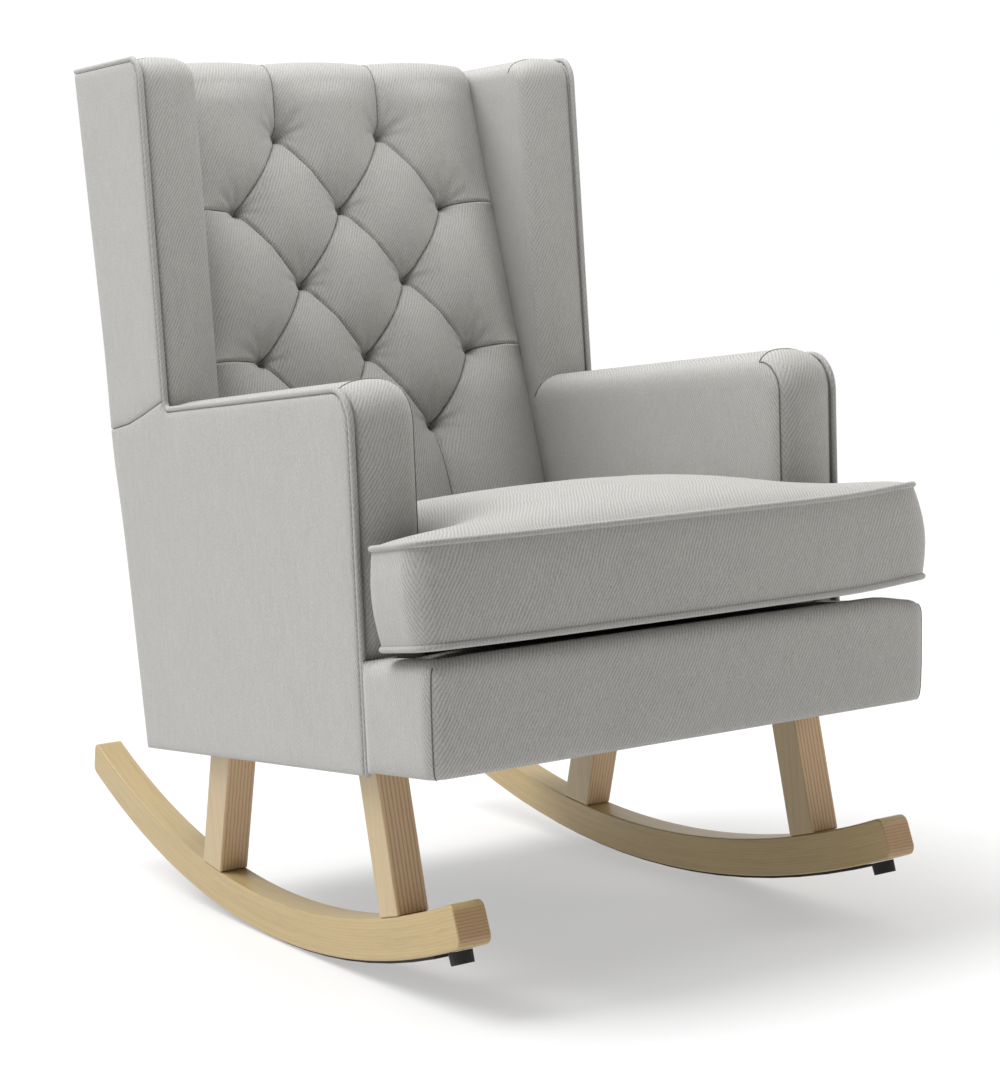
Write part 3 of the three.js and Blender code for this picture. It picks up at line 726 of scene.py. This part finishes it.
def back_height(x, z, edge):
    """Height of the padded front over its seam line, for grids of x and z."""
    near = np.full_like(x, 1e9)
    for ends in PLEATS:
        path = pleat_path(ends, 10)
        for (ax, az), (bx, bz) in zip(path, path[1:]):
            dx, dz = bx - ax, bz - az
            t = np.clip(((x - ax) * dx + (z - az) * dz) / (dx * dx + dz * dz), 0, 1)
            near = np.minimum(near, np.hypot(x - ax - t * dx, z - az - t * dz))
    r = np.full_like(x, 1e9)
    pucker = np.zeros_like(x)
    for tx, tz, row in TUFTS:
        d = np.hypot(x - tx, z - tz)
        r = np.minimum(r, d)
        a = np.arctan2(z - tz, x - tx)
        folds = np.cos(9 * a + tx * 0.02 + row) * (0.45 + 0.55 * np.sin(a))
        pucker += np.exp(-(((d - 20) / 14) ** 2)) * folds
    away = (1 - np.exp(-((r / 42) ** 1.5))) * np.sqrt(np.clip(edge / 34, 0, 1))
    pinned = (near < 1.1) | (r < 6) | (edge < 1.0)
    start = np.where(edge < 1.0, -3.0, CREASE * away - 12.0 * np.exp(-((r / 9) ** 2)))
    press = 0.0165 * BACK_STEP**2 / 4
    h = relax(start, pinned, press, 2400)
    h -= (3.0 + 3.0 * np.exp(-((r / 32) ** 2))) * np.exp(-((near / 1.5) ** 2)) * np.clip(r / 6, 0, 1)
    h -= 8.0 * np.exp(-((r / 7) ** 2))
    return h + 1.3 * pucker


BACK_STEP = 1.6
PAD_ROLL = 30.0  # radius of the pad's roll over its top


def back_pad():
    """The tufted front, rolled over the top, as one closed sheet and its back wall."""
    step = BACK_STEP
    half = INNER + 0.5
    low = np.array([back_seam(BACK_LOW), BACK_LOW])
    knee_z = BACK_TOP - 30
    knee = np.array([back_seam(knee_z), knee_z])
    run = np.linalg.norm(knee - low)
    tangent = (knee - low) / run
    front_n = np.array([-tangent[1], tangent[0]])
    turn = math.atan2(front_n[1], -front_n[0])
    arc_r = PAD_ROLL
    sweep = math.pi / 2 - turn
    centre = knee - front_n * arc_r
    path = []
    count = int(run / step)
    for i in range(count + 1):
        p = low + tangent * run * i / count
        path.append((p, front_n, p[1]))
    for i in range(1, 17):
        a = sweep * i / 16
        c, s = math.cos(a), math.sin(a)
        nrm = np.array([front_n[0] * c + front_n[1] * s, -front_n[0] * s + front_n[1] * c])
        path.append((centre + nrm * arc_r, nrm, knee_z + arc_r * a))
    last = path[-1][0]
    for i in range(1, 9):
        p = last + (np.array([REAR + 2, last[1]]) - last) * i / 8
        path.append((p, np.array([0.0, 1.0]), path[15 + count][2] + 40 * i / 8))
    columns = int(2 * half / step)
    xs = np.linspace(-half, half, columns + 1)
    base = np.array([p for p, _, _ in path])
    nrm = np.array([v for _, v, _ in path])
    zs = np.array([v for _, _, v in path])
    gx, gz = np.meshgrid(xs, zs)
    fade = np.clip((zs - BACK_TOP + 62) / 74.0, 0, 1)[:, None]
    fade = 0.86 * fade * fade * (3 - 2 * fade)
    level = 13.0 * np.sqrt(np.clip((half - np.abs(gx)) / 10, 0, 1))
    h = back_height(gx, gz, half - np.abs(gx))
    h = h * (1 - fade) + level * fade - 1.0
    points = []
    for j in range(len(path)):
        for i in range(columns + 1):
            y, z = base[j] + nrm[j] * h[j, i]
            points.append((xs[i], y, z))
    faces = grid_faces(len(path), columns + 1)
    w = columns + 1
    rim = list(range(w))
    rim += [j * w + w - 1 for j in range(1, len(path))]
    rim += [(len(path) - 1) * w + i for i in range(w - 2, -1, -1)]
    rim += [j * w for j in range(len(path) - 2, 0, -1)]
    start = len(points)
    for k in rim:
        x, y, z = points[k]
        z2 = min(z, BACK_TOP - 26)
        points.append((x * 0.995, min(max(y + 30, back_seam(z2) + 52), 401.0), z2))
    m = len(rim)
    for k in range(m):
        faces.append((rim[k], rim[(k + 1) % m], start + (k + 1) % m, start + k))
    faces.append(tuple(range(start, start + m)))
    obj = add_mesh("tufted_back_cover", points, faces)
    finish_piece(obj, "chair", "grey_twill", TWILL_MAT, "tufted_back_pad", "back_top_cap")
    # Dark cords along each pleat: painted shade of the creases.
    for k, ends in enumerate(PLEATS):
        line = []
        for x, z in pleat_path(ends, 39):
            if abs(x) > half - 3 or z < BACK_LOW + 4 or z > BACK_TOP + 10:
                continue
            j = np.interp(z, zs, np.arange(len(path)))
            i = (x + half) / (2 * half) * columns
            a, b = int(j), int(i)
            u, v = j - a, i - b
            cell = h[a : a + 2, b] * (1 - v) + h[a : a + 2, b + 1] * v
            lift = cell[0] * (1 - u) + cell[1] * u
            y, w = base[a] * (1 - u) + base[a + 1] * u + nrm[a] * (lift + 0.15)
            line.append((x, y, w))
        if len(line) > 3:
            seam = tube(f"pleat_shade_line_{k + 1}", line, 0.55, 5)
            finish_piece(seam, "chair", "grey_twill", SEAM_SHADE_MAT)


back_pad()


def buttons():
    """Covered buttons, sunk in the pinches."""
    count = {}
    for x, z, row in TUFTS:
        count[row] = count.get(row, 0) + 1
        node = f"tuft_button_row{row + 1}_{count[row]}"
        y = back_seam(z) + BUTTON_SUNK
        points = []
        faces = []
        rings = [(0.0, 2.6), (2.6, 2.2), (4.6, 1.0), (5.6, -0.6), (5.2, -2.2), (0.0, -2.6)]
        sides = 20
        for r, up in rings:
            for k in range(sides):
                a = 2 * math.pi * k / sides
                points.append((x + r * math.cos(a), y - up, z + r * math.sin(a)))
        for i in range(len(rings) - 1):
            for k in range(sides):
                a = i * sides + k
                b = i * sides + (k + 1) % sides
                faces.append((a, b, b + sides, a + sides))
        obj = add_mesh(f"covered_button_{row + 1}_{count[row]}", points, faces)
        b = bmesh.new()
        b.from_mesh(obj.data)
        bmesh.ops.remove_doubles(b, verts=b.verts, dist=1e-5)
        b.to_mesh(obj.data)
        b.free()
        finish_piece(obj, "chair", "button_fabric", BUTTON_MAT, node)


buttons()


# ---------------------------------------------------------------- outside back and base
def outside_back():
    ring = rounded(
        [
            (-HALF + 5, BASE_BOTTOM, 3),
            (HALF - 5, BASE_BOTTOM, 3),
            (HALF - 5, WING_REAR - 4, 8),
            (-HALF + 5, WING_REAR - 4, 8),
        ],
        4,
    )
    profile = [
        (REAR + 0.6, -1.0),
        (REAR + 0.6, 0.0),
        (REAR + 4.5, 0.0),
        (REAR + 7.0, -1.5),
        (REAR + 8.2, -4.5),
        (REAR + 8.8, -7.0),
    ]
    ring = resample(ring, 14)
    obj, _ = loft("outside_back_cover", ring, profile, lambda a, b, t: (a, t + rear_swell(b), b))
    finish_piece(obj, "chair", "grey_twill", TWILL_MAT, "outside_back_panel")


outside_back()


def side_front(z):
    """Front edge of the sides at height z."""
    return ARM_FOOT + (ARM_TIP - ARM_FOOT) * (z - BASE_BOTTOM) / (ARM_FRONT - BASE_BOTTOM)


def apron():
    ring = rounded(
        [
            (-APRON_HALF, ARM_FOOT),
            (-APRON_HALF, APRON_FRONT, 22),
            (APRON_HALF, APRON_FRONT, 22),
            (APRON_HALF, ARM_FOOT),
            (APRON_HALF - APRON_WALL, ARM_FOOT),
            (APRON_HALF - APRON_WALL, APRON_FRONT + APRON_WALL, 8),
            (APRON_WALL - APRON_HALF, APRON_FRONT + APRON_WALL, 8),
            (APRON_WALL - APRON_HALF, ARM_FOOT),
        ],
        7,
    )
    ring = resample(ring, 9)
    profile = [
        (APRON_BOTTOM + 0.4, -8.0),
        (APRON_BOTTOM - 0.4, -5.0),
        (APRON_BOTTOM + 0.8, -2.2),
        (APRON_BOTTOM + 4.6, -0.4),
        (APRON_BOTTOM + 14.0, 0.8),
        (APRON_BOTTOM + 38.0, 1.6),
        (APRON_BOTTOM + 70.0, 1.6),
        (APRON_TOP - 20.0, 1.2),
        (APRON_TOP - 11.0, 0.8),
        (APRON_TOP - 5.0, -0.4),
        (APRON_TOP + 0.2, -3.2),
        (APRON_TOP + 4.0, -7.6),
        (APRON_TOP + 6.0, -12.6),
        (APRON_TOP + 6.4, -17.0),
    ]

    def place(a, b, t):
        """Leans the front, ends the sides behind the arm fronts, and drops the top's corners."""
        rear = side_front(t) - APRON_GAP
        share = (b - APRON_FRONT) / (ARM_FOOT - APRON_FRONT)
        lean = -APRON_LEAN * (t - APRON_BOTTOM)
        end = min(1.0, max(0.0, (abs(a) - 235) / 60))
        high = max(0.0, (t - APRON_TOP + 34) / 40)
        drop = (8.0 if a > 0 else 2.0) * end * end * (3 - 2 * end) * high
        return (a, b + lean * (1 - share) + (rear - ARM_FOOT) * share, t - drop)

    def free(_, b):
        return 0.0 if b > ARM_FOOT - 1 else 1.0

    obj, points = loft("front_apron_cover", ring, profile, place, free)
    finish_piece(obj, "chair", "grey_twill", TWILL_MAT, "front_apron")
    n = len(ring)
    # Dark cords down the apron's front corners: painted shade of the corner seams.
    for label, sign in (("left", -1), ("right", 1)):
        target = (sign * (APRON_HALF - 5), APRON_FRONT + 6)
        corner = min(range(n), key=lambda i: abs(ring[i][0] - target[0]) + abs(ring[i][1] - target[1]))
        path = [points[k * n + corner] for k in range(1, 11)]
        seam = tube(f"apron_corner_seam_shade_{label}", path, 0.8, 6)
        finish_piece(seam, "chair", "grey_twill", SEAM_SHADE_MAT)


apron()


def platform():
    """Cloth-covered deck under the cushion; its dark grey is partly the cloth's own colour and partly
    painted shade of the gap under the cushion.
    """
    ear = APRON_HALF - APRON_WALL + 2
    front = APRON_FRONT + 20
    notch = ARM_FOOT - PLATFORM_GAP
    ring = rounded(
        [
            (-ear, front, 6),
            (ear, front, 6),
            (ear, notch, 3),
            (INNER - 2, notch, 3),
            (INNER - 2, PLATFORM_REAR, 6),
            (2 - INNER, PLATFORM_REAR, 6),
            (2 - INNER, notch, 3),
            (-ear, notch, 3),
        ],
        4,
    )
    ring = resample(ring, 12)
    rim = np.array(ring)

    def dome(x, y):
        return 6.5 * (1 - math.exp(-max(0, np.hypot(*(rim - (x, y)).T).min() - 5) / 22))

    profile = [(0.0, -1.0), (0.0, 0.0), (5.0, 0.0), (7.6, -0.8), (9.2, -2.4), (9.8, -5.0)]
    profile = [(PLATFORM_LOW + t, g) for t, g in profile]
    obj, _ = loft("platform_cover", ring, profile, lambda a, b, t: (a, b, t), shape=dome)
    finish_piece(obj, "chair", "deck_cloth", DECK_CLOTH_AND_SHADE_MAT, "seat_deck")


platform()


# ---------------------------------------------------------------- seat cushion
def cushion_plan(grow=0.0):
    g = grow
    return rounded(
        [
            (-CUSHION_EAR - g, CUSHION_FRONT - g, 28),
            (0, CUSHION_FRONT - 8 - g, 700),
            (CUSHION_EAR + g, CUSHION_FRONT - g, 28),
            (CUSHION_EAR + g, CUSHION_EAR_REAR + g, 14),
            (CUSHION_HALF + g, CUSHION_EAR_REAR + g, 8),
            (CUSHION_HALF + g, CUSHION_REAR + g, 22),
            (-CUSHION_HALF - g, CUSHION_REAR + g, 22),
            (-CUSHION_HALF - g, CUSHION_EAR_REAR + g, 8),
            (-CUSHION_EAR - g, CUSHION_EAR_REAR + g, 14),
        ],
        7,
    )


class Crown:
    """Height of the inflated top over its seam line, from a skin stretched over the plan."""

    def __init__(self):
        self.step = 4.0
        self.x0, self.y0 = -CUSHION_EAR - 12, CUSHION_FRONT - 20
        xs = np.arange(self.x0, CUSHION_EAR + 13, self.step)
        ys = np.arange(self.y0, CUSHION_REAR + 13, self.step)
        gx, gy = np.meshgrid(xs, ys)
        ring = np.array(resample(cushion_plan(), 5))
        inside = np.zeros(gx.shape, bool)
        for (ax, ay), (bx, by) in zip(ring, np.roll(ring, -1, 0)):
            if ay != by:
                inside ^= ((ay > gy) != (by > gy)) & (gx < (bx - ax) * (gy - ay) / (by - ay) + ax)
        skin = relax(np.zeros(gx.shape), ~inside, 1.0, 4000)
        p = np.pad(skin / skin.max(), 1, mode="edge")
        self.grid = sum(p[j : j + gx.shape[0], i : i + gx.shape[1]] for j in range(3) for i in range(3)) / 9
        self.ring = ring

    def __call__(self, x, y):
        u = (x - self.x0) / self.step
        v = (y - self.y0) / self.step
        i, j = int(u), int(v)
        a, b = u - i, v - j
        g = self.grid
        low = g[j, i] * (1 - a) + g[j, i + 1] * a
        high = g[j + 1, i] * (1 - a) + g[j + 1, i + 1] * a
        away = np.hypot(*(self.ring - (x, y)).T).min()
        skin = (low * (1 - b) + high * b) * (1 - math.exp(-away / 6))
        between = min(1.0, max(0.0, (y - CUSHION_EAR_REAR + 30) / 130))
        return float(CUSHION_CROWN * skin ** (0.70 - 0.28 * between))


def ear_lift(x, y):
    """The cushion's front corners curl up a little, the right one more than the left."""
    height = 5.5 if x > 0 else 1.0
    return height * math.exp(-(math.hypot(abs(x) - CUSHION_EAR, y - CUSHION_FRONT) / 70) ** 2)


def cushion():
    crown = Crown()
    ring = resample(cushion_plan(), 7)
    normal = outward(ring)
    hub = (0.0, CUSHION_FRONT + 52)
    top = CUSHION_LOW + CUSHION_EDGE
    n = len(ring)
    points = []
    faces = []
    shares = [0.0, 0.012, 0.03, 0.055, 0.09, 0.13, 0.18, 0.24, 0.31, 0.39, 0.48, 0.58, 0.69, 0.8, 0.9]

    def ring_at(share, z, lift):
        for x, y in ring:
            a = x + (hub[0] - x) * share
            b = y + (hub[1] - y) * share
            points.append((a, b, z + ear_lift(a, b) + (lift * crown(a, b) if share else 0)))

    for share in reversed(shares):
        ring_at(share, CUSHION_LOW, -0.2)
    for part in (0.04, 0.1, 0.2, 0.35, 0.5, 0.65, 0.8, 0.9, 0.96):
        swell = CUSHION_SWELL * math.sin(math.pi * part)
        for (x, y), m in zip(ring, normal):
            free = 0.0 if y > CUSHION_EAR_REAR - 4 and abs(x) < CUSHION_EAR - 5 else 1.0
            wide = (2.2 if x > 0 else 1.3) * free  # the right end stands out more
            z = CUSHION_LOW + CUSHION_EDGE * part + ear_lift(x, y)
            points.append((x + m[0] * swell * wide, y + m[1] * swell * free, z))
    for share in shares:
        ring_at(share, top, 1.0)
    rings = len(points) // n
    for i in range(rings - 1):
        for k in range(n):
            a = i * n + k
            b = i * n + (k + 1) % n
            faces.append((a, b, b + n, a + n))
    low = len(points)
    points.append((*hub, CUSHION_LOW - 0.2 * crown(*hub)))
    points.append((*hub, top + crown(*hub)))
    for k in range(n):
        faces.append((low, (k + 1) % n, k))
        faces.append((low + 1, (rings - 1) * n + k, (rings - 1) * n + (k + 1) % n))
    obj = add_mesh("seat_cushion_cover", points, faces)
    finish_piece(obj, "cushion", "grey_twill", TWILL_MAT, "seat_cushion")
    loop = resample(cushion_plan(0.4), 6)
    for label, z in (("top", top - 0.5), ("bottom", CUSHION_LOW + 0.5)):
        path = [(x, y, z + ear_lift(x, y)) for x, y in loop]
        welt = tube(f"cushion_{label}_piping", path, WELT, 12, loop=True)
        finish_piece(welt, "cushion", "welt_fabric", WELT_MAT, f"cushion_{label}_welt")


cushion()


# ---------------------------------------------------------------- legs and rockers
def soften(obj, width, segments=3):
    b = bmesh.new()
    b.from_mesh(obj.data)
    sharp = [e for e in b.edges if len(e.link_faces) == 2 and e.calc_face_angle(0) > 0.6]
    bmesh.ops.bevel(b, geom=sharp, offset=width * MM, segments=segments, affect="EDGES", profile=0.5)
    b.to_mesh(obj.data)
    b.free()
    obj.data.polygons.foreach_set("use_smooth", [True] * len(obj.data.polygons))
    flat = obj.modifiers.new("facing", "WEIGHTED_NORMAL")
    flat.keep_sharp = True
    return obj


def arc_z(y, r):
    return ARC_R - math.sqrt(r * r - (y - ARC_Y) ** 2)


def leg(sign, label, y0, y1, slope):
    upper = ARC_R - ARC_THICK
    z0, z1 = arc_z(y0, upper) + 0.1, arc_z(y1, upper) + 0.1
    tops = [(y + slope * (LEG_TOP - z), LEG_TOP) for y, z in ((y1, z1), (y0, z0))]
    ring = [(y0, z0), (y1, z1), *tops]
    points = [(sign * x, y, z) for x in (ROCKER_OUT, ROCKER_IN) for y, z in ring]
    faces = [(0, 1, 2, 3), (7, 6, 5, 4)] + [(i, (i + 1) % 4, 4 + (i + 1) % 4, 4 + i) for i in range(4)]
    side = mirror_name(sign)
    obj = soften(add_mesh(f"{side}_{label}_leg_shaped", points, faces), 2.0)
    finish_piece(obj, "chair", "pale_birch", LEG_MAT, f"{side}_{label}_leg")


def rocker(sign):
    a0 = math.asin((ROCKER_FRONT - ARC_Y) / ARC_R)
    a1 = math.asin((ROCKER_REAR - ARC_Y) / ARC_R)
    count = 90
    angles = [a0 + (a1 - a0) * i / count for i in range(count + 1)]

    def at(r, a):
        return (ARC_Y + r * math.sin(a), ARC_R - r * math.cos(a))

    lower = [at(ARC_R, a) for a in angles]
    upper = [at(ARC_R - ARC_THICK, a) for a in reversed(angles)]
    ends = (0, count, count + 1, 2 * count + 1)
    ring = [(*p, 10.0 if i in ends else 0) for i, p in enumerate([*lower, *upper])]
    ring = rounded(ring, 6)
    n = len(ring)
    points = [(sign * x, y, z) for x in (ROCKER_OUT, ROCKER_IN) for y, z in ring]
    faces = [tuple(range(n)), tuple(range(n, 2 * n))]
    faces += [(i, (i + 1) % n, n + (i + 1) % n, n + i) for i in range(n)]
    side = mirror_name(sign)
    obj = soften(add_mesh(f"{side}_rocker_shaped", points, faces), 2.2)
    finish_piece(obj, "chair", "pale_birch", ROCKER_MAT, f"{side}_rocker")


for s in (-1, 1):
    for foot in LEGS:
        leg(s, *foot)
    rocker(s)


# ---------------------------------------------------------------- finishes of the CAD nodes that stay
def repaint(name, mat):
    obj = nodes[name]
    obj.data.materials.clear()
    obj.data.materials.append(mat)


for name in nodes:
    if "rail" in name or "post" in name:
        repaint(name, FRAME_MAT)
    elif "spring" in name:
        repaint(name, STEEL_MAT)
    elif "grip_strip" in name or "stop" in name:
        repaint(name, RUBBER_MAT)
    elif name == "seat_deck":
        # Same dark grey as the platform: partly the cloth's colour, partly painted shade.
        repaint(name, DECK_CLOTH_AND_SHADE_MAT)
    elif name == "dust_cover":
        repaint(name, LINING_MAT)


# ---------------------------------------------------------------- floor and light
def area_light(name, place, target, size, power, color=(1, 1, 1)):
    data = bpy.data.lights.new(name, "AREA")
    data.shape = "RECTANGLE"
    data.size, data.size_y = size
    data.energy = power
    data.color = color
    obj = bpy.data.objects.new(name, data)
    bpy.context.scene.collection.objects.link(obj)
    obj.location = place
    obj.rotation_euler = (Vector(target) - Vector(place)).to_track_quat("-Z", "Y").to_euler()


floor_data = bpy.data.meshes.new("floor")
floor_data.from_pydata([(-30, -30, 0), (30, -30, 0), (30, 30, 0), (-30, 30, 0)], [], [(0, 1, 2, 3)])
floor = bpy.data.objects.new("floor", floor_data)
bpy.context.scene.collection.objects.link(floor)
floor_mat, _, floor_shader = blank("pale_floor")
floor_shader.inputs["Base Color"].default_value = (0.46, 0.46, 0.46, 1)
floor_shader.inputs["Emission Color"].default_value = (1, 1, 1, 1)
floor_shader.inputs["Emission Strength"].default_value = 0.42
floor_shader.inputs["Roughness"].default_value = 0.9
floor_shader.inputs["Specular IOR Level"].default_value = 0.1
floor_data.materials.append(floor_mat)

world = bpy.data.worlds.new("studio")
world.use_nodes = True
sky = Nodes(world.node_tree)
direction = sky.new("ShaderNodeTexCoord").outputs["Generated"]
aim = sky.vector("DOT_PRODUCT", direction, (-0.05, 0.78, 0.5))
spread = sky.smoothstep(aim.node.outputs["Value"], -0.15, 0.3, 0.0, 1.02)
band = sky.smoothstep(sky.split(direction)[2], 0.03, 0.10, 1.0, 0.0)  # pale horizon all round
backdrop = world.node_tree.nodes["Background"]
backdrop.inputs[0].default_value = (1, 1, 1, 1)
sky.feed(backdrop.inputs[1], sky.math("MAXIMUM", spread, band))
bpy.context.scene.world = world

sun = bpy.data.lights.new("key", "SUN")
sun.energy = 2.25
sun.angle = math.radians(36)
key = bpy.data.objects.new("key", sun)
bpy.context.scene.collection.objects.link(key)
key.rotation_euler = Vector((0.46, -0.36, -1.0)).to_track_quat("-Z", "Y").to_euler()
area_light("overhead", (-0.1, -0.28, 1.95), (-0.1, -0.15, 0.45), (0.9, 0.7), 11.5)
area_light("right", (1.05, -1.2, 0.8), (0.2, -0.2, 0.5), (0.5, 0.5), 3.2, (1.0, 0.95, 0.88))
bpy.context.scene.view_settings.view_transform = "Standard"
